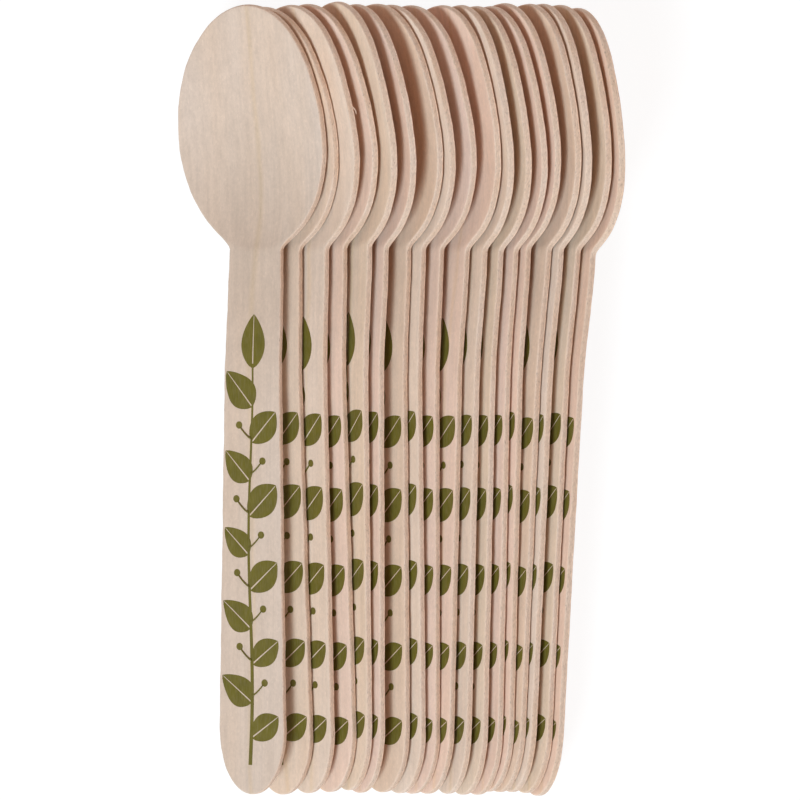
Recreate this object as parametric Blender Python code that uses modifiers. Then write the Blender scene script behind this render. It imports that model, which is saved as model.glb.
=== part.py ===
"""A pack of eighteen pressed birch spoons, shingled side by side in one leaning row.

Every spoon is one stamped veneer blank: a flat handle that widens towards its rounded end, a narrow neck that a hot
press has set down, and an oval bowl that it has dished and raised towards its tip. The row lies on a flat surface.
Each spoon stands on the left rim of its bowl and the left edge of its handle's end, and leans to the right against
the next one. The front spoon lies in the hollow of the second. Metres, +Z up. +X runs along the row and +Y from the
handle ends to the bowl tips.
"""

import math

import bmesh
import bpy
import numpy as np
from mathutils import Euler, Vector
from mathutils.bvhtree import BVHTree

# The blank, seen from above
SPOON_LENGTH = 0.160
BOWL_WIDTH = 0.0340
BOWL_TIP_REACH = 0.0271  # from the widest point of the bowl to its tip
BOWL_HEEL_REACH = 0.0226  # from the widest point to where the bowl's oval would close behind it
NECK_WIDTH = 0.0120
NECK_BLEND = 0.0030  # where the half-widths of bowl and handle differ by less, one outline flows into the other
HANDLE_END_WIDTH = 0.0151
HANDLE_END_REACH = 0.0130  # length of the handle's half-oval end

# The veneer and the pressing
THICKNESS = 0.0014
BOWL_DEPTH = 0.0025  # from the rim to the middle of the dish
DISH_POWER = 2.2  # above 2 the dish is flatter in the middle and steeper at the rim
NECK_DROP = 0.0013  # how far the neck is set down below the handle's plane
DROP_REACH = 0.0280  # length of handle over which it comes down
TIP_RISE = 0.0026  # how far the bowl's rim is raised above the handle's plane at its tip
RISE_REACH = 0.0393  # from the neck to where the rim has its full height

# The row, from the front spoon on the left to the last one on the right
LEANS_DEG = (29, 36.8, 45.8, 45.1, 54.4, 52.3, 46.8, 49.2, 46.4, 51.1, 56.9, 55, 53.9, 53.6, 55.8, 58.1, 55.1, 57.9)
TURNS_DEG = (-0.1, 1, 0.6, 1, 0.1, -0.4, -0.2, 0, -0.5, -1.8, -1.7, -1.7, -1.7, -1.9, -2.9, -3, -3.2, -3.6)
SLIPS_MM = (0, -0.3, 0, 0.2, 0.6, 0.1, 0.2, 0, -0.1, -0.1, -0.1, -0.3, -0.3, 0.3, 0.2, 0.2, 0, -0.6)  # towards the tips
FRONT_STEP = 0.0024  # how far the front spoon's rim lies behind the rim of the spoon that carries it
CLEARANCE = 0.0003  # between neighbouring spoons where they touch

# How finely the faceted solids follow the shape
HALF_COLUMNS = 3
END_ROWS = 4
DROP_ROWS = 4
HEEL_ROWS = 8
TIP_ROWS = 7

BIRCH = (0.66, 0.53, 0.41)
BIRCH_ROUGHNESS = 0.62
TONE_SPREAD = 0.04  # how much lighter or darker than the average a spoon may be
TONE_STEP = 2.4  # phase from one spoon's tone to the next

MILLIMETRE = 0.001
MERGE_DISTANCE = 0.00002  # points of the sheet closer together than this are one point

# How closely the seating is worked out
SETTLE_ROUNDS = 12
SEATING_ROUNDS = 60
SEATING_ERROR = 0.01  # as a share of the clearance


def widest_station():
    """Distance from the handle's end to the widest point of the bowl."""
    return SPOON_LENGTH - BOWL_TIP_REACH


def neck_station():
    """Distance from the handle's end to where the bowl's oval meets the handle."""
    return widest_station() - BOWL_HEEL_REACH * oval(NECK_WIDTH / BOWL_WIDTH)


def oval(share):
    """Half-width of a unit half-oval at this share of its reach."""
    return math.sqrt(max(0.0, 1 - share * share))


def soft_maximum(a, b, blend):
    """The larger of two values, rounded over where they differ by less than blend."""
    closeness = max(0.0, 1 - abs(a - b) / blend)
    return max(a, b) + blend * closeness * closeness / 4


def half_width(y):
    """Half of the blank's width at a distance y from the handle's end."""
    widest = widest_station()
    if y >= widest:
        return BOWL_WIDTH / 2 * oval((y - widest) / BOWL_TIP_REACH)
    along = (y - HANDLE_END_REACH) / (neck_station() - HANDLE_END_REACH)
    if along < 0:
        return HANDLE_END_WIDTH / 2 * oval(1 - y / HANDLE_END_REACH)
    handle = (HANDLE_END_WIDTH + (NECK_WIDTH - HANDLE_END_WIDTH) * min(1.0, along)) / 2
    bowl = BOWL_WIDTH / 2 * oval(min(1.0, (widest - y) / BOWL_HEEL_REACH))
    return soft_maximum(handle, bowl, NECK_BLEND)


def smooth(share):
    """An S-curve from 0 to 1 as share goes from 0 to 1."""
    held = min(1.0, max(0.0, share))
    return held * held * (3 - 2 * held)


def profile(y):
    """Height of the spoon's outline over the handle's plane: down to the neck and up to the tip."""
    past_neck = y - neck_station()
    drop = NECK_DROP * smooth((past_neck + DROP_REACH) / DROP_REACH)
    return (NECK_DROP + TIP_RISE) * smooth(past_neck / RISE_REACH) - drop


def dish(x, y):
    """Height of the veneer's middle surface over the handle's plane."""
    widest = widest_station()
    reach = BOWL_TIP_REACH if y > widest else BOWL_HEEL_REACH
    from_middle = math.hypot(x / (BOWL_WIDTH / 2), (y - widest) / reach)
    hollow = BOWL_DEPTH * (1 - min(1.0, from_middle) ** DISH_POWER)
    return profile(y) - hollow


def stations():
    """Distances from the handle's end at which the blank has a row of points, closer together on its curves."""
    quarter = math.pi / 2
    end = [HANDLE_END_REACH * (1 - math.cos(quarter * i / END_ROWS)) for i in range(END_ROWS + 1)]
    heel_start = neck_station() - NECK_BLEND
    drop_start = heel_start - DROP_REACH
    handle = [drop_start + DROP_REACH * i / DROP_ROWS for i in range(DROP_ROWS + 1)]
    heel = [heel_start + (widest_station() - heel_start) * i / HEEL_ROWS for i in range(1, HEEL_ROWS + 1)]
    tip = [widest_station() + BOWL_TIP_REACH * math.sin(quarter * i / TIP_ROWS) for i in range(1, TIP_ROWS + 1)]
    return end + handle + heel + tip


def half_sheet():
    """The right half of the veneer's middle surface: a grid drawn out to the blank's outline and dished."""
    rows = stations()
    last_row = len(rows) - 1
    sheet = bmesh.new()
    bmesh.ops.create_grid(sheet, x_segments=HALF_COLUMNS, y_segments=last_row, size=1)
    for vert in sheet.verts:
        y = rows[round((vert.co.y + 1) / 2 * last_row)]
        x = (vert.co.x + 1) / 2 * half_width(y)
        vert.co = (x, y, dish(x, y))
    bmesh.ops.remove_doubles(sheet, verts=sheet.verts, dist=MERGE_DISTANCE)
    mesh = bpy.data.meshes.new("half_sheet")
    sheet.to_mesh(mesh)
    sheet.free()
    return mesh


def birch(index):
    """Bare birch, a little lighter or darker from one spoon to the next."""
    tone = 1 + TONE_SPREAD * math.sin(TONE_STEP * index)
    material = bpy.data.materials.new(f"birch_{index:02d}")
    material.use_nodes = True
    shader = material.node_tree.nodes["Principled BSDF"]
    shader.inputs["Base Color"].default_value = (*(tone * channel for channel in BIRCH), 1)
    shader.inputs["Roughness"].default_value = BIRCH_ROUGHNESS
    shader.inputs["Metallic"].default_value = 0
    return material


def add_spoon(index, collection):
    """One spoon: the half sheet mirrored over its middle line and given the veneer's thickness."""
    mesh = half_sheet()
    mesh.materials.append(birch(index))
    spoon = bpy.data.objects.new(f"spoon_{index:02d}", mesh)
    collection.objects.link(spoon)
    mirror = spoon.modifiers.new("both_sides", "MIRROR")
    mirror.merge_threshold = MERGE_DISTANCE
    veneer = spoon.modifiers.new("veneer", "SOLIDIFY")
    veneer.thickness = THICKNESS
    veneer.offset = 0
    veneer.use_even_offset = True
    return spoon


def solid_of(spoon):
    """The finished solid's points and faces in the spoon's own frame."""
    bpy.context.view_layer.update()
    shown = spoon.evaluated_get(bpy.context.evaluated_depsgraph_get())
    mesh = shown.to_mesh()
    points = np.array([vert.co for vert in mesh.vertices])
    faces = [tuple(face.vertices) for face in mesh.polygons]
    shown.to_mesh_clear()
    return points, faces


def attitude(lean, pitch, turn):
    """Rotation of a spoon that leans about its length, dips one end and is turned in plan."""
    return Euler((pitch, -lean, turn), "YXZ")


def rotated(points, rotation):
    """The points turned about the origin."""
    return points @ np.array(rotation.to_matrix()).T


def settled_pitch(points, lean):
    """The pitch at which a leaning spoon stands on both its bowl's rim and its handle's end."""
    leant = rotated(points, attitude(lean, 0, 0))
    middle = leant[:, 1].mean()
    ends = (leant[leant[:, 1] < middle], leant[leant[:, 1] >= middle])
    pitch = 0.0
    for _ in range(SETTLE_ROUNDS):
        dipped = [rotated(end, attitude(0, pitch, 0)) for end in ends]
        handle_low, bowl_low = (end[end[:, 2].argmin()] for end in dipped)
        pitch -= math.atan2(bowl_low[2] - handle_low[2], bowl_low[1] - handle_low[1])
    return pitch


def vectors(points):
    """The points as Blender's own vectors."""
    return [Vector(point) for point in points]


def travel_to_seat(points, faces, neighbour, direction):
    """How far the points go along a direction until only the clearance is left between them and the neighbour."""
    moving_tree = BVHTree.FromPolygons(vectors(points), faces)
    neighbour_tree = BVHTree.FromPolygons(vectors(neighbour), faces)
    way = np.array(direction)
    travel = 0.0
    for _ in range(SEATING_ROUNDS):
        gaps = [neighbour_tree.find_nearest(point)[3] for point in vectors(points + way * travel)]
        gaps += [moving_tree.find_nearest(point)[3] for point in vectors(neighbour - way * travel)]
        spare = min(gaps) - CLEARANCE
        travel += spare
        if abs(spare) < CLEARANCE * SEATING_ERROR:
            break
    return travel


def slid_against(points, faces, neighbour):
    """The points slid to the right over the floor, until they touch the neighbour."""
    clear = neighbour[:, 0].min() - points[:, 0].max() - CLEARANCE
    start = points + np.array((clear, 0, 0))
    return start + np.array((travel_to_seat(start, faces, neighbour, (1, 0, 0)), 0, 0))


def laid_into(points, faces, neighbour):
    """The points let down into the neighbour's hollow, stepped back from its rim."""
    step = neighbour[:, 0].max() - FRONT_STEP - points[:, 0].max()
    clear = neighbour[:, 2].max() - points[:, 2].min() + CLEARANCE
    start = points + np.array((step, 0, clear))
    drop = travel_to_seat(start, faces, neighbour, (0, 0, -1))
    return start - np.array((0, 0, min(drop, start[:, 2].min())))


def lay_row(spoons):
    """Puts the spoons in their row, from the last one on the right to the front one on the left."""
    points, faces = solid_of(spoons[0])
    neighbour = None
    for spoon, lean_deg, turn_deg, slip_mm in reversed(list(zip(spoons, LEANS_DEG, TURNS_DEG, SLIPS_MM))):
        lean, turn = math.radians(lean_deg), math.radians(turn_deg)
        rotation = attitude(lean, settled_pitch(points, lean), turn)
        rested = rotated(points, rotation)
        middle = (rested[:, 1].min() + rested[:, 1].max()) / 2
        grounded = rested - np.array((0, middle - slip_mm * MILLIMETRE, rested[:, 2].min()))
        if neighbour is None:
            seated = grounded
        elif spoon is spoons[0]:
            seated = laid_into(grounded, faces, neighbour)
        else:
            seated = slid_against(grounded, faces, neighbour)
        spoon.rotation_mode = rotation.order
        spoon.rotation_euler = rotation
        spoon.location = seated[0] - rested[0]
        neighbour = seated


def centre_row(spoons):
    """Moves the whole row over the origin, resting on z = 0."""
    bpy.context.view_layer.update()
    points, _ = solid_of(spoons[0])
    places = [np.array(spoon.matrix_world) for spoon in spoons]
    everything = np.vstack([points @ place[:3, :3].T + place[:3, 3] for place in places])
    low, high = everything.min(0), everything.max(0)
    for spoon in spoons:
        spoon.location -= Vector(((low[0] + high[0]) / 2, (low[1] + high[1]) / 2, low[2]))


def main():
    for thing in list(bpy.data.objects):
        bpy.data.objects.remove(thing, do_unlink=True)
    pack = bpy.data.collections.new("wooden_spoon_pack")
    bpy.context.scene.collection.children.link(pack)
    spoons = [add_spoon(index, pack) for index in range(1, len(LEANS_DEG) + 1)]
    lay_row(spoons)
    centre_row(spoons)


main()
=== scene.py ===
"""Looks of the pack of pressed birch spoons: fine meshes, wood and ink, floor, light and camera."""

import math
import random

import bmesh
import bpy
import numpy as np
from mathutils import Matrix, Vector


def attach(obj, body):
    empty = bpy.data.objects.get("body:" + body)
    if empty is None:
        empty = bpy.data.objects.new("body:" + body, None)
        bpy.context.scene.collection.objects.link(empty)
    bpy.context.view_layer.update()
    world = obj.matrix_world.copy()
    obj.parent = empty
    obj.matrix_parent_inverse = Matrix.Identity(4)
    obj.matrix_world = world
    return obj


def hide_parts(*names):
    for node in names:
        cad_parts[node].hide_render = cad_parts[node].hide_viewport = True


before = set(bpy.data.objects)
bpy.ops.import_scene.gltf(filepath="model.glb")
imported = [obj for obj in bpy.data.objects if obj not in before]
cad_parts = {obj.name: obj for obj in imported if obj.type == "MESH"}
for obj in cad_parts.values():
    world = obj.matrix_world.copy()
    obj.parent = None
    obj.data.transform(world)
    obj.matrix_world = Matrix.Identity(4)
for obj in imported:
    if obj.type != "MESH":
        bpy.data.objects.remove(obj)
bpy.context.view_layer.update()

MILLIMETRE = 0.001

# The blank and its pressing, as in the solids
SPOON_LENGTH = 0.160
BOWL_WIDTH = 0.0340
BOWL_TIP_REACH = 0.0271
BOWL_HEEL_REACH = 0.0226
NECK_WIDTH = 0.0120
NECK_BLEND = 0.0030
HANDLE_END_WIDTH = 0.0151
HANDLE_END_REACH = 0.0130
THICKNESS = 0.0014
BOWL_DEPTH = 0.0025
DISH_POWER = 2.2
NECK_DROP = 0.0013
DROP_REACH = 0.0280
TIP_RISE = 0.0026
RISE_REACH = 0.0393
WIDEST = SPOON_LENGTH - BOWL_TIP_REACH
FLAT_SHARE = 0.53  # this share of a spoon's length, from the handle's end, is flat

# The fine mesh
OUTLINE_SAMPLES = 5280
OUTLINE_ROWS = 264
SPINE_COLUMNS = 10
RIM_ANGLE = math.radians(60)
EDGE_ROUNDING = 0.00028
EDGE_SEGMENTS = 3
MERGE_DISTANCE = 0.00002
SHARP_ANGLE = math.radians(40)
EDGE_SLOT, INK_SLOT = 1, 2  # numbers of a spoon's materials. Number 0 is on its broad faces
TRIM = 0.9997  # keeps the finer outline inside the solids' box

# What tumbling and drying did to each blank, as wavelengths and amplitudes in millimetres
EDGE_WAVES = ((21.0, 0.035), (9.0, 0.030), (4.3, 0.022), (2.1, 0.012))
EDGE_FALLOFF = 3  # the power with which an edge's stray dies out towards the middle line
WARP_WAVES = ((95.0, 0.030), (37.0, 0.015))

# The torn fibre on one spoon's rim, in millimetres. Its curve starts from its foot, on the cut edge
SPLINTERED = 3  # the number of that spoon
SPLINTER_FOOT = 139.6  # from the handle's end
SPLINTER_INSET = 0.1
SPLINTER_DEPTH = 0.45  # below the middle of the veneer
SPLINTER_CURVE = ((0, 0, 0), (0.35, -0.10, 0), (0.75, -0.40, -0.05), (1.05, -0.95, -0.12), (1.15, -1.55, -0.20))
SPLINTER_RADIUS = 0.15
SPLINTER_TAPER = 0.6  # this share of its radius is gone at its tip
SPLINTER_SIDES = 5
SPLINTER_FLAT = (0.8, 0.6)  # which way its round section faces in the blank's plane

# The print, in millimetres on the handle
STEM_START, STEM_END = 5.5, 87.0
STEM_WIDTH, STEM_TIP_WIDTH = 0.85, 0.40
STEM_SWAY, STEM_SWAY_LENGTH = 0.45, 62.0
LEAF_BASES = (11.0, 26.0, 41.0, 56.0, 71.0)
LEAF_STAGGER = 7.2
LEAF_ANGLES = (54.0, 40.0)
LEAF_PLUMPNESS = 0.70
LEAF_MARGIN = 0.9
LEAF_SKEW = 0.85  # under 1 the leaf is widest nearer its foot
LEAF_FULLNESS = 0.8  # under 1 it is fuller than a sine
LEAF_DROOP = 0.12
END_LEAF_LENGTH, END_LEAF_PLUMPNESS, END_LEAF_OVERLAP = 11.0, 0.5, 1
VEIN_WIDTH = 0.30
VEIN_TAPER = 0.6
BERRY_RADIUS = 0.75
BERRY_SIDES = 16
BERRY_FOOT = 6.4  # where a berry's stalk leaves the stem, below the foot of the leaf above it
BERRY_STALK = (2.9, 2.7)
STALK_WIDTH = 0.32
STALK_SHARE = 0.85  # the stalk ends inside the berry
STALK_BOW = 1.4
LEAF_GRID, STEM_GRID, STALK_GRID = (3, 20), (2, 90), (1, 6)
LEAF_LAYER, STEM_LAYER, STALK_LAYER, BERRY_LAYER = range(4)  # no two of them lie in one plane
PRINT_JITTER = 0.7
JITTER_SHARES = (0.4, 1)  # across the handle and along it
INK_HEIGHT = 0.00002
INK_LAYER = 0.004
INK_ROOT = 0.0002

# Tints of the spoons, as eight-bit display colours
TINTS = {
    "cream": (210, 191, 176),
    "ivory": (224, 203, 186),
    "tan": (221, 195, 174),
    "rose": (226, 198, 182),
    "straw": (224, 201, 180),
    "peach": (228, 199, 181),
}
ROW_TINTS = (
    "cream", "tan", "ivory", "peach", "straw", "rose", "tan", "ivory", "rose",
    "peach", "ivory", "straw", "rose", "peach", "tan", "ivory", "straw", "peach",
)
EDGE_TINT = (237, 213, 194)
INK_TINT = (101, 92, 28)

# Red, green and blue of the darker wood and of the heart streak, as shares of a spoon's tint
WARM = (1, 0.95, 0.89)
WARM_EDGE = (0.97, 0.90, 0.83)
GOLD = (0.97, 0.90, 0.74)

# Painted light and shade: millimetres or a share of the thickness, and how light the wood is at these two
# Painted shade: the wood is darker round the neck and a little lighter away from it
PAINTED_NECK_SHADE = (4, 36), (0.92, 1.02)  # away from the neck
NECK_STRETCH = (2.2, 1, 0)
# Painted highlight: the wood is paler towards the bowl's tip
TIP = (120, 152), (1, 1.06)  # towards the bowl's tip
# Painted highlight: the cut edge is pale at its back corner and, as painted shade, a little darker towards its middle
BACK_CORNER_HIGHLIGHT = (0.62, 0.90), (0.94, 1.17)  # of the cut edge, from its middle to its back corner

# The heart streak: where it may lie, how far it drifts and how strong it is
HEART = (-3, 4)
HEART_DRIFT = 1.6
HEART_STRENGTH = 0.55

# Noises: features per millimetre each way, detail, the values found and what they are spread over
BROAD = (0.10, 0.012, 0.10), 2, (0.3, 0.7), (0, 1)
STREAKS = (1.1, 0.022, 1.1), 5, (0.25, 0.75), (0.92, 1.07)
VESSELS = (8.5, 0.42, 8.5), 2, (0.56, 0.72), (1, 0.93)
FLECKS = (3.0, 1.6, 3.0), 2, (0.56, 0.76), (1, 1.10)
MOTTLE = (1.9, 1.2, 1.9), 3, (0.3, 0.7), (0.955, 1.045)
CLOUDS = (0.35, 0.22, 0.35), 4, (0.3, 0.7), (0.96, 1.04)
DRIFT = (0, 0.018, 0), 2, (0.2, 0.8)
STREAK_WIDTH = (0.4, 0.05, 0.4), 2, (0.3, 0.7), (0.5, 1.2)
FACE_ROUGHNESS = (1.5, 0.03, 1.5), 3, (0.3, 0.7), (0.56, 0.68)
FIBRES = (9.0, 0.35, 9.0), 3, (0.3, 0.7), (0.93, 1.06)
TORN = (2.2, 1.3, 4.0), 4, (0.3, 0.7), (0.86, 1.12)
PITS = (3.0, 1.8, 5.0), 2, (0.60, 0.74), (1, 0.72)
RAGGED = (1.6, 1.1, 1.6), 3, (0.3, 0.7), (-0.10, 0.10)
BROAD_EDGE = (0.3, 0.06, 0.3), 2, (0.3, 0.7), (0, 1)
EDGE_ROUGHNESS = (3.2, 1.9, 6.5), 2, (0.3, 0.7), (0.68, 0.80)
THIN_INK = (4.5, 0.5, 4.5), 3, (0.40, 0.80), (1, 0.91)
PATCHY_INK = (0.5, 0.3, 0.5), 3, (0.3, 0.7), (0.88, 1.12)
INK_ROUGHNESS = (1.5, 0.03, 1.5), 3, (0.3, 0.7), (0.48, 0.58)
NOISE_ROUGHNESS = 0.6
GRAIN_SHIFT = (41.3, 223.7, 17.9)  # in millimetres from one spoon's grain to the next one's

# Gloss and relief
SPECULAR = 0.2
FACE_RELIEF, EDGE_RELIEF, INK_RELIEF = 0.00009, 0.00022, 0.00006

# Floor, light and camera
FLOOR_REACH = 2
FLOOR_COLOUR = (0.8, 0.8, 0.8, 1)
FLOOR_ROUGHNESS = 0.9
SEEN_PAPER = (0.16, 0.16, 0.16, 1)
SEEN_GLOW = 0.90
WHITE = (1, 1, 1, 1)
TENT_COLOUR = (1, 0.58, 0.40, 1)
TENT_STRENGTH = 0.35
PANEL_COLOUR = (0.71, 0.90, 1)
PANEL_SIZE = 1.5
PANELS = (
    ("panel", 164, (-1.50, -2.38, 3.00)),
    ("filler_behind", 18, (0.30, 2.60, 1.60)),
    ("filler_beside", 16, (2.60, 0.40, 0.50)),
)
CAMERA_LENS = 300
CAMERA_HEIGHT = 1.3610


def oval(share):
    """Half-width of a unit half-oval at this share of its reach."""
    return math.sqrt(max(0.0, 1 - share * share))


NECK = WIDEST - BOWL_HEEL_REACH * oval(NECK_WIDTH / BOWL_WIDTH)


def half_width(y):
    """Half of the blank's width at a distance y from the handle's end."""
    if y >= WIDEST:
        return BOWL_WIDTH / 2 * oval((y - WIDEST) / BOWL_TIP_REACH)
    along = (y - HANDLE_END_REACH) / (NECK - HANDLE_END_REACH)
    if along < 0:
        return HANDLE_END_WIDTH / 2 * oval(1 - y / HANDLE_END_REACH)
    handle = (HANDLE_END_WIDTH + (NECK_WIDTH - HANDLE_END_WIDTH) * min(1.0, along)) / 2
    bowl = BOWL_WIDTH / 2 * oval(min(1.0, (WIDEST - y) / BOWL_HEEL_REACH))
    closeness = max(0.0, 1 - abs(handle - bowl) / NECK_BLEND)
    return max(handle, bowl) + NECK_BLEND * closeness * closeness / 4


def smooth(share):
    """An S-curve from 0 to 1 as share goes from 0 to 1."""
    held = min(1.0, max(0.0, share))
    return held * held * (3 - 2 * held)


def dish(x, y):
    """Height of the veneer's middle surface over the handle's plane."""
    past_neck = y - NECK
    rise = (NECK_DROP + TIP_RISE) * smooth(past_neck / RISE_REACH)
    drop = NECK_DROP * smooth((past_neck + DROP_REACH) / DROP_REACH)
    reach = BOWL_TIP_REACH if y > WIDEST else BOWL_HEEL_REACH
    from_middle = math.hypot(x / (BOWL_WIDTH / 2), (y - WIDEST) / reach)
    return rise - drop - BOWL_DEPTH * (1 - min(1.0, from_middle) ** DISH_POWER)


def half_outline():
    """Evenly spaced points of the right half of the outline, from the handle's end to the bowl's tip."""
    turns = [math.pi * i / OUTLINE_SAMPLES for i in range(OUTLINE_SAMPLES + 1)]
    ys = [SPOON_LENGTH * (1 - math.cos(turn)) / 2 for turn in turns]
    xs = [half_width(y) for y in ys]
    lengths = np.concatenate(([0], np.cumsum(np.hypot(np.diff(xs), np.diff(ys)))))
    even = np.linspace(0, lengths[-1], OUTLINE_ROWS + 1)
    return np.interp(even, lengths, xs), np.interp(even, lengths, ys)


def spine(y):
    """The point on the middle line that an outline point at y is joined to, so that rows turn round the ends."""
    end_radius = (HANDLE_END_WIDTH / 2) ** 2 / HANDLE_END_REACH
    tip_radius = (BOWL_WIDTH / 2) ** 2 / BOWL_TIP_REACH
    from_tip = SPOON_LENGTH - y
    if y < 2 * end_radius:
        return end_radius + y * y / (4 * end_radius)
    if from_tip < 2 * tip_radius:
        return SPOON_LENGTH - tip_radius - from_tip * from_tip / (4 * tip_radius)
    return y


def blank_mesh():
    """The right half of the veneer's middle surface, in rows from the middle line to the outline."""
    xs, ys = half_outline()
    sheet = bmesh.new()
    bmesh.ops.create_grid(sheet, x_segments=SPINE_COLUMNS, y_segments=OUTLINE_ROWS, size=1)
    for vert in sheet.verts:
        row = round((vert.co.y + 1) / 2 * OUTLINE_ROWS)
        out = (vert.co.x + 1) / 2
        start = spine(ys[row])
        x, y = out * xs[row], start + out * (ys[row] - start)
        vert.co = (x, y, dish(x, y))
    bmesh.ops.remove_doubles(sheet, verts=sheet.verts, dist=MERGE_DISTANCE)
    return finished(sheet, "blank")


def finished(sheet, name):
    """The bmesh as a mesh."""
    mesh = bpy.data.meshes.new(name)
    sheet.to_mesh(mesh)
    sheet.free()
    return mesh


def evaluated_mesh(thing):
    """A mesh of the object as its modifiers leave it. The object goes."""
    bpy.context.scene.collection.objects.link(thing)
    bpy.context.view_layer.update()
    shown = thing.evaluated_get(bpy.context.evaluated_depsgraph_get())
    mesh = bpy.data.meshes.new_from_object(shown)
    bpy.data.objects.remove(thing)
    return mesh


def spoon_mesh():
    """One spoon: mirrored over its middle line, given the veneer's thickness, with its edges rounded by tumbling.

    Each point keeps its depth in the veneer, from 0 on the hollow side to 1 on the back.
    """
    thing = bpy.data.objects.new("template", blank_mesh())
    mirror = thing.modifiers.new("both_sides", "MIRROR")
    mirror.merge_threshold = MERGE_DISTANCE
    veneer = thing.modifiers.new("veneer", "SOLIDIFY")
    veneer.thickness = THICKNESS
    veneer.offset = 0
    veneer.use_even_offset = True
    veneer.material_offset_rim = EDGE_SLOT
    tumbled = thing.modifiers.new("tumbled_edges", "BEVEL")
    tumbled.width = EDGE_ROUNDING
    tumbled.segments = EDGE_SEGMENTS
    tumbled.limit_method = "ANGLE"
    tumbled.angle_limit = RIM_ANGLE
    for slot in ("face", "edge", "ink"):  # in the order of their numbers
        thing.data.materials.append(bpy.data.materials.new(slot))
    mesh = evaluated_mesh(thing)
    depth = mesh.attributes.new("depth", "FLOAT", "POINT")
    for vert, mark in zip(mesh.vertices, depth.data):
        mark.value = 0.5 + (dish(vert.co.x, vert.co.y) - vert.co.z) / THICKNESS
    return mesh


def add_splinter(sheet):
    """A torn fibre that curls off the right rim of the bowl: a thin closed strand."""
    y = SPLINTER_FOOT * MILLIMETRE
    x = half_width(y)
    foot = Vector((x, y, dish(x, y))) - MILLIMETRE * Vector((SPLINTER_INSET, 0, SPLINTER_DEPTH))
    turns = [2 * math.pi * i / SPLINTER_SIDES for i in range(SPLINTER_SIDES)]
    across, along = SPLINTER_FLAT
    around = [Vector((across * math.cos(turn), along * math.cos(turn), math.sin(turn))) for turn in turns]
    depth = sheet.verts.layers.float["depth"]
    rings = []
    for number, point in enumerate(SPLINTER_CURVE):
        radius = SPLINTER_RADIUS * (1 - SPLINTER_TAPER * number / (len(SPLINTER_CURVE) - 1))
        rings.append([sheet.verts.new(foot + MILLIMETRE * (Vector(point) + radius * out)) for out in around])
    faces = [sheet.faces.new(rings[0]), sheet.faces.new(rings[-1])]
    for near, far in zip(rings, rings[1:]):
        faces += [sheet.faces.new((near[i], near[i - 1], far[i - 1], far[i])) for i in range(SPLINTER_SIDES)]
    bmesh.ops.recalc_face_normals(sheet, faces=faces)
    for vert in sum(rings, []):
        vert[depth] = 1
    for face in faces:
        face.material_index = EDGE_SLOT


def stem_x(y):
    """Where the printed stem is at a distance y from the handle's end, in millimetres."""
    return STEM_SWAY * math.sin(2 * math.pi * (y - STEM_START) / STEM_SWAY_LENGTH)


def patch(sheet, grid, layer, place):
    """Adds a flat grid whose point at (across, along), both from 0 to 1, lies at place(across, along)."""
    columns, rows = grid
    height = layer * INK_LAYER
    verts = [
        [sheet.verts.new((*place(c / columns, r / rows), height)) for c in range(columns + 1)]
        for r in range(rows + 1)
    ]
    for below, above in zip(verts, verts[1:]):
        for c in range(columns):
            sheet.faces.new((below[c], below[c + 1], above[c + 1], above[c]))


def add_leaf(sheet, base, angle, length, width):
    """A smooth oval leaf in two halves, with a bare vein between them."""
    direction = (math.sin(angle), math.cos(angle))

    def half(side):
        def place(across, along):
            swell = math.sin(math.pi * along ** LEAF_SKEW) ** LEAF_FULLNESS if 0 < along < 1 else 0
            belly = width / 2 * swell
            vein = min(belly, VEIN_WIDTH / 2 * (1 - VEIN_TAPER * along))
            out = side * (vein + (belly - vein) * across)
            reach = length * along + LEAF_DROOP * width * math.sin(math.pi * along) * math.sin(angle)
            return (
                base[0] + direction[0] * reach + direction[1] * out,
                base[1] + direction[1] * reach - direction[0] * out,
            )
        return place

    patch(sheet, LEAF_GRID, LEAF_LAYER, half(1))
    patch(sheet, LEAF_GRID, LEAF_LAYER, lambda across, along: half(-1)(1 - across, along))


def print_mesh():
    """A plain generic sprig: a swaying stem with staggered oval leaves, a leaf at its end and round berries."""
    sheet = bmesh.new()

    def stem(across, along):
        y = STEM_START + (STEM_END - STEM_START) * along
        width = STEM_WIDTH + (STEM_TIP_WIDTH - STEM_WIDTH) * along
        return stem_x(y) + width * (across - 0.5), y

    patch(sheet, STEM_GRID, STEM_LAYER, stem)
    for side, stagger in ((1, 0), (-1, LEAF_STAGGER)):
        for number, foot in enumerate(LEAF_BASES):
            y = foot + stagger
            share = (y - LEAF_BASES[0]) / (LEAF_BASES[-1] + LEAF_STAGGER - LEAF_BASES[0])
            angle = math.radians(LEAF_ANGLES[0] + (LEAF_ANGLES[1] - LEAF_ANGLES[0]) * share)
            room = half_width(y * MILLIMETRE) / MILLIMETRE - LEAF_MARGIN - side * stem_x(y)
            length = room / math.sin(angle)
            add_leaf(sheet, (stem_x(y), y), side * angle, length, LEAF_PLUMPNESS * length)
            if number:
                add_berry(sheet, (stem_x(y - BERRY_FOOT), y - BERRY_FOOT), side)
    end_foot = (stem_x(STEM_END), STEM_END - END_LEAF_OVERLAP)
    add_leaf(sheet, end_foot, 0, END_LEAF_LENGTH, END_LEAF_PLUMPNESS * END_LEAF_LENGTH)
    return finished(sheet, "print")


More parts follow.
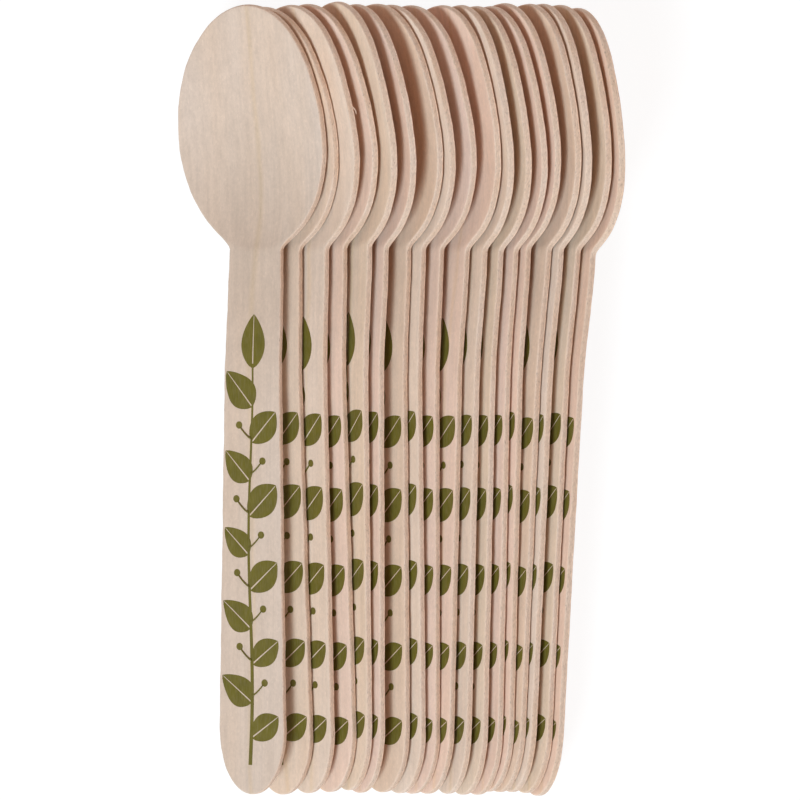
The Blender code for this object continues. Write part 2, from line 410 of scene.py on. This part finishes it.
def add_berry(sheet, foot, side):
    """A round berry on a short stalk."""
    centre = (foot[0] + side * BERRY_STALK[0], foot[1] + BERRY_STALK[1])
    turns = [2 * math.pi * i / BERRY_SIDES for i in range(BERRY_SIDES)]
    height = BERRY_LAYER * INK_LAYER

    def stalk(across, along):
        reach = along * STALK_SHARE
        return (
            foot[0] + (centre[0] - foot[0]) * reach,
            foot[1] + (centre[1] - foot[1]) * reach ** STALK_BOW + STALK_WIDTH * (across - 0.5) * side,
        )

    patch(sheet, STALK_GRID, STALK_LAYER, stalk)
    ring = [(centre[0] + BERRY_RADIUS * math.cos(turn), centre[1] + BERRY_RADIUS * math.sin(turn)) for turn in turns]
    sheet.faces.new([sheet.verts.new((*point, height)) for point in ring])


def printed(flat, shift):
    """The print laid on the handle, with its ink's thickness, shifted a little as prints are."""
    mesh = flat.copy()
    for vert in mesh.vertices:
        x, y = (vert.co.x + shift[0]) * MILLIMETRE, (vert.co.y + shift[1]) * MILLIMETRE
        vert.co = (x, y, dish(x, y) + THICKNESS / 2 + INK_HEIGHT + vert.co.z * MILLIMETRE)
    thing = bpy.data.objects.new("print", mesh)
    ink = thing.modifiers.new("ink", "SOLIDIFY")
    ink.thickness = INK_HEIGHT + INK_ROOT
    ink.offset = -1
    return evaluated_mesh(thing)


def place_of(node):
    """Where a CAD spoon lies: its own x across, y from handle to bowl and z out of its hollow side."""
    points = np.unique(np.round([tuple(vert.co) for vert in node.data.vertices], 7), axis=0)
    middle = points.mean(0)
    along = np.linalg.svd(points - middle)[2][0]
    along = along * np.sign(along[1])
    reach = (points - middle) @ along
    handle = points[reach < reach.min() + FLAT_SHARE * np.ptp(reach)]
    centre = handle.mean(0)
    along, _, normal = np.linalg.svd(handle - centre)[2]
    along = along * np.sign(along[1])
    normal = normal * np.sign(normal[2])
    across = np.cross(along, normal)
    end = ((handle - centre) @ along).min()
    place = Matrix.Identity(4)
    for row in range(3):
        place[row][:3] = across[row], along[row], normal[row]
        place[row][3] = centre[row] + end * along[row]
    return place


def wave(chance, waves):
    """A seeded sum of sines of a length in millimetres."""
    phases = [chance.uniform(0, 2 * math.pi) for _ in waves]
    return lambda y: sum(high * math.sin(2 * math.pi * y / long + phase) for (long, high), phase in zip(waves, phases))


def weather(mesh, chance):
    """Lets the edges stray from the drawn outline and bends the blank a little."""
    edges = {side: wave(chance, EDGE_WAVES) for side in (-1, 1)}
    bend, twist = wave(chance, WARP_WAVES), wave(chance, WARP_WAVES)
    middle = SPOON_LENGTH / 2
    for vert in mesh.vertices:
        x, y, z = vert.co
        share = min(1.0, abs(x) / max(half_width(y), MILLIMETRE))
        side = 1 if x > 0 else -1
        stray = edges[side](y / MILLIMETRE) * share ** EDGE_FALLOFF * MILLIMETRE
        lift = (bend(y / MILLIMETRE) + share * side * twist(y / MILLIMETRE)) / 2 * MILLIMETRE
        vert.co = ((x + stray) * TRIM, middle + (y - middle) * TRIM, z + lift)


def linear(colour):
    """An eight-bit display colour as linear light."""
    shares = [channel / 255 for channel in colour]
    return tuple(c / 12.92 if c <= 0.04045 else ((c + 0.055) / 1.055) ** 2.4 for c in shares)


def add_node(tree, kind, inputs, output=0, **settings):
    """A shader node with its inputs set or linked. Gives back one of its outputs."""
    node = tree.nodes.new(kind)
    for name, value in settings.items():
        setattr(node, name, value)
    for name, value in inputs.items():
        socket = node.inputs[name]
        if isinstance(value, bpy.types.NodeSocket):
            tree.links.new(value, socket)
        else:
            socket.default_value = value
    return node.outputs[output]


def math_node(tree, operation, *values):
    """A math node."""
    return add_node(tree, "ShaderNodeMath", dict(enumerate(values)), operation=operation)


def product(tree, *values):
    """All of the values multiplied."""
    total = values[0]
    for value in values[1:]:
        total = math_node(tree, "MULTIPLY", total, value)
    return total


def scaled(tree, colour, shade):
    """The colour made lighter or darker."""
    return add_node(tree, "ShaderNodeVectorMath", {0: colour, "Scale": shade}, operation="SCALE")


def mixed(tree, share, first, second):
    """A mix of two colours, with this share of the second. Written colours have three channels."""
    ends = [end if isinstance(end, bpy.types.NodeSocket) else (*end, 1) for end in (first, second)]
    return add_node(tree, "ShaderNodeMix", {"Factor": share, "A": ends[0], "B": ends[1]}, 2, data_type="RGBA")


def tinted(colour, shares):
    """The colour times shares of its channels."""
    return tuple(channel * share for channel, share in zip(colour, shares))


def spread(tree, value, found, given, **settings):
    """Values between found, spread over given."""
    ends = {"Value": value, "From Min": found[0], "From Max": found[1], "To Min": given[0], "To Max": given[1]}
    return add_node(tree, "ShaderNodeMapRange", ends, **settings)


def eased(tree, value, found, given):
    """The same along an S-curve."""
    return spread(tree, value, found, given, interpolation_type="SMOOTHSTEP")


def noise(tree, at, scale, detail, found, given):
    """Noise with so many features per millimetre each way. Its values between found are spread over given."""
    stretched = add_node(tree, "ShaderNodeVectorMath", {0: at, 1: scale}, operation="MULTIPLY")
    inputs = {"Vector": stretched, "Scale": 1, "Detail": detail, "Roughness": NOISE_ROUGHNESS}
    return spread(tree, add_node(tree, "ShaderNodeTexNoise", inputs), found, given)


def spoon_coordinates(tree, place, seed):
    """Millimetres in the spoon's own frame, moved by a seed so that no two blanks have the same grain."""
    world = add_node(tree, "ShaderNodeTexCoord", {}, "Object")
    inputs = {
        "Vector": world,
        "Location": place.translation,
        "Rotation": place.to_euler(),
        "Scale": (MILLIMETRE, MILLIMETRE, MILLIMETRE),
    }
    own = add_node(tree, "ShaderNodeMapping", inputs, vector_type="TEXTURE")
    shift = [seed * step for step in GRAIN_SHIFT]
    return own, add_node(tree, "ShaderNodeVectorMath", {0: own, 1: shift})


def wood_colour(tree, own, at, tint, heart):
    """Pale rotary-cut birch: broad tone, fine streaks, vessel dashes, light flecks and a faint heart streak.

    Painted shade makes it a little darker round the neck, and a painted highlight makes it paler at the bowl's tip.
    """
    pale = linear(tint)
    ground = mixed(tree, noise(tree, at, *BROAD), pale, tinted(pale, WARM))
    grain = product(tree, noise(tree, at, *STREAKS), noise(tree, at, *VESSELS))
    off_neck = add_node(tree, "ShaderNodeVectorMath", {0: own, 1: (0, NECK / MILLIMETRE, 0)}, operation="SUBTRACT")
    widened = add_node(tree, "ShaderNodeVectorMath", {0: off_neck, 1: NECK_STRETCH}, operation="MULTIPLY")
    from_neck = add_node(tree, "ShaderNodeVectorMath", {0: widened}, 1, operation="LENGTH")
    across = add_node(tree, "ShaderNodeSeparateXYZ", {0: own})
    along = add_node(tree, "ShaderNodeSeparateXYZ", {0: own}, 1)
    shade = product(
        tree,
        grain,
        noise(tree, at, *FLECKS),
        noise(tree, at, *CLOUDS),
        noise(tree, at, *MOTTLE),
        # painted shade round the neck and a painted highlight towards the bowl's tip
        eased(tree, from_neck, *PAINTED_NECK_SHADE),
        eased(tree, along, *TIP),
    )
    drift = noise(tree, at, *DRIFT, (heart - HEART_DRIFT, heart + HEART_DRIFT))
    off_heart = math_node(tree, "ABSOLUTE", math_node(tree, "SUBTRACT", across, drift))
    width = noise(tree, at, *STREAK_WIDTH)
    ground = mixed(tree, eased(tree, off_heart, (0, width), (HEART_STRENGTH, 0)), ground, tinted(pale, GOLD))
    return scaled(tree, ground, shade), grain


def finish_material(material, colour, roughness, height, bump):
    """Sends colour, roughness and fine relief to the shader."""
    tree = material.node_tree
    shader = tree.nodes["Principled BSDF"]
    shader.inputs["Specular IOR Level"].default_value = SPECULAR
    tree.links.new(colour, shader.inputs["Base Color"])
    tree.links.new(roughness, shader.inputs["Roughness"])
    relief = add_node(tree, "ShaderNodeBump", {"Height": height, "Distance": bump, "Strength": 1})
    tree.links.new(relief, shader.inputs["Normal"])


def new_material(name):
    """A material with its nodes."""
    material = bpy.data.materials.new(name)
    material.use_nodes = True
    return material


def face_wood(name, place, seed, tint, heart):
    """The broad faces of one spoon."""
    material = new_material(name)
    tree = material.node_tree
    own, at = spoon_coordinates(tree, place, seed)
    colour, grain = wood_colour(tree, own, at, tint, heart)
    finish_material(material, colour, noise(tree, at, *FACE_ROUGHNESS), grain, FACE_RELIEF)
    return material


def edge_wood(name, place, seed):
    """The cut edge of one spoon: torn fibres along it, darker in the middle as painted shade and pale at its back
    corner as a painted highlight.
    """
    material = new_material(name)
    tree = material.node_tree
    at = spoon_coordinates(tree, place, seed)[1]
    depth = add_node(tree, "ShaderNodeAttribute", {}, "Fac", attribute_name="depth")
    ragged = math_node(tree, "ADD", depth, noise(tree, at, *RAGGED))
    shade = product(
        tree,
        noise(tree, at, *FIBRES),
        noise(tree, at, *TORN),
        noise(tree, at, *PITS),
        # painted highlight at the back corner, painted shade towards the middle
        eased(tree, ragged, *BACK_CORNER_HIGHLIGHT),
    )
    pale = linear(EDGE_TINT)
    ground = mixed(tree, noise(tree, at, *BROAD_EDGE), pale, tinted(pale, WARM_EDGE))
    finish_material(material, scaled(tree, ground, shade), noise(tree, at, *EDGE_ROUGHNESS), shade, EDGE_RELIEF)
    return material


def ink_on_wood(name, place, seed, tint, heart):
    """Olive ink, thin enough on the grain to let a little of it show."""
    material = new_material(name)
    tree = material.node_tree
    own, at = spoon_coordinates(tree, place, seed)
    wood, grain = wood_colour(tree, own, at, tint, heart)
    film = scaled(tree, linear(INK_TINT), noise(tree, at, *PATCHY_INK))
    colour = mixed(tree, noise(tree, at, *THIN_INK), wood, film)
    finish_material(material, colour, noise(tree, at, *INK_ROUGHNESS), grain, INK_RELIEF)
    return material


def add_birch_spoon(name, node, template, flat_print, seed):
    """One fine spoon in the place of its CAD node, with its own weathering, print shift and wood."""
    chance = random.Random(seed)
    place = place_of(node)
    sheet = bmesh.new()
    sheet.from_mesh(template)
    shift = [chance.uniform(-PRINT_JITTER, PRINT_JITTER) * share for share in JITTER_SHARES]
    wood_faces = len(sheet.faces)
    sheet.from_mesh(printed(flat_print, shift))
    sheet.faces.ensure_lookup_table()
    for face in sheet.faces[wood_faces:]:
        face.material_index = INK_SLOT
    if seed == SPLINTERED:
        add_splinter(sheet)
    mesh = finished(sheet, name)
    weather(mesh, chance)
    mesh.transform(place)
    mesh.shade_smooth()
    mesh.set_sharp_from_angle(angle=SHARP_ANGLE)
    tint, heart = TINTS[ROW_TINTS[seed - 1]], chance.uniform(*HEART)
    mesh.materials.append(face_wood(f"birch_face_{seed:02d}", place, seed, tint, heart))
    mesh.materials.append(edge_wood(f"birch_edge_{seed:02d}", place, seed))
    mesh.materials.append(ink_on_wood(f"olive_ink_{seed:02d}", place, seed, tint, heart))
    spoon = bpy.data.objects.new(name, mesh)
    bpy.context.scene.collection.objects.link(spoon)
    return spoon


def add_spoons():
    """All spoons of the pack."""
    template, flat_print = spoon_mesh(), print_mesh()
    for seed, (node_name, node) in enumerate(sorted(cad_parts.items()), 1):
        spoon = add_birch_spoon(node_name.replace("spoon", "birch_spoon"), node, template, flat_print, seed)
        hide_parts(node_name)
        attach(spoon, "root")


def add_floor():
    """A white sweep that keeps the pack's shadow."""
    sheet = bmesh.new()
    bmesh.ops.create_grid(sheet, x_segments=1, y_segments=1, size=FLOOR_REACH)
    floor = bpy.data.objects.new("floor", finished(sheet, "floor"))
    bpy.context.scene.collection.objects.link(floor)
    material = new_material("sweep")
    tree = material.node_tree
    shader = tree.nodes["Principled BSDF"]
    shader.inputs["Base Color"].default_value = FLOOR_COLOUR
    shader.inputs["Roughness"].default_value = FLOOR_ROUGHNESS
    paper = add_node(tree, "ShaderNodeBsdfDiffuse", {"Color": SEEN_PAPER})
    glow = add_node(tree, "ShaderNodeEmission", {"Color": WHITE, "Strength": SEEN_GLOW})
    seen = add_node(tree, "ShaderNodeAddShader", {0: paper, 1: glow})
    surface = add_node(tree, "ShaderNodeMixShader", {0: looked_at(tree), 1: shader.outputs["BSDF"], 2: seen})
    tree.links.new(surface, tree.nodes["Material Output"].inputs["Surface"])
    floor.data.materials.append(material)


def looked_at(tree):
    """1 for rays from the camera, from gloss and through glass, else 0."""
    outputs = tree.nodes.new("ShaderNodeLightPath").outputs
    either = math_node(tree, "MAXIMUM", outputs["Is Camera Ray"], outputs["Is Glossy Ray"])
    return math_node(tree, "MAXIMUM", either, outputs["Is Transmission Ray"])


def add_light():
    """Soft studio light: an even warm surround, a large cool panel from the lower left and two weak fillers."""
    world = bpy.data.worlds.new("tent")
    bpy.context.scene.world = world
    world.use_nodes = True
    tree = world.node_tree
    tent = tree.nodes["Background"]
    tent.inputs["Color"].default_value = TENT_COLOUR
    tent.inputs["Strength"].default_value = TENT_STRENGTH
    white = add_node(tree, "ShaderNodeBackground", {"Color": WHITE, "Strength": 1})
    sky = add_node(tree, "ShaderNodeMixShader", {0: looked_at(tree), 1: tent.outputs[0], 2: white})
    tree.links.new(sky, tree.nodes["World Output"].inputs["Surface"])
    for name, energy, location in PANELS:
        add_panel(name, energy, location)


def add_panel(name, energy, location):
    """A large square cool light turned to the pack."""
    panel = bpy.data.objects.new(name, bpy.data.lights.new(name, "AREA"))
    panel.data.size = PANEL_SIZE
    panel.data.energy = energy
    panel.data.color = PANEL_COLOUR
    panel.location = location
    panel.rotation_euler = (-panel.location).to_track_quat("-Z", "Y").to_euler()
    bpy.context.scene.collection.objects.link(panel)


def add_camera():
    """Straight above the pack, at the photograph's scale."""
    camera = bpy.data.objects.new("camera", bpy.data.cameras.new("camera"))
    camera.data.lens = CAMERA_LENS
    camera.location = (0, 0, CAMERA_HEIGHT)
    bpy.context.scene.collection.objects.link(camera)
    bpy.context.scene.camera = camera


bpy.context.scene.view_settings.view_transform = "Standard"
add_spoons()
add_floor()
add_light()
add_camera()
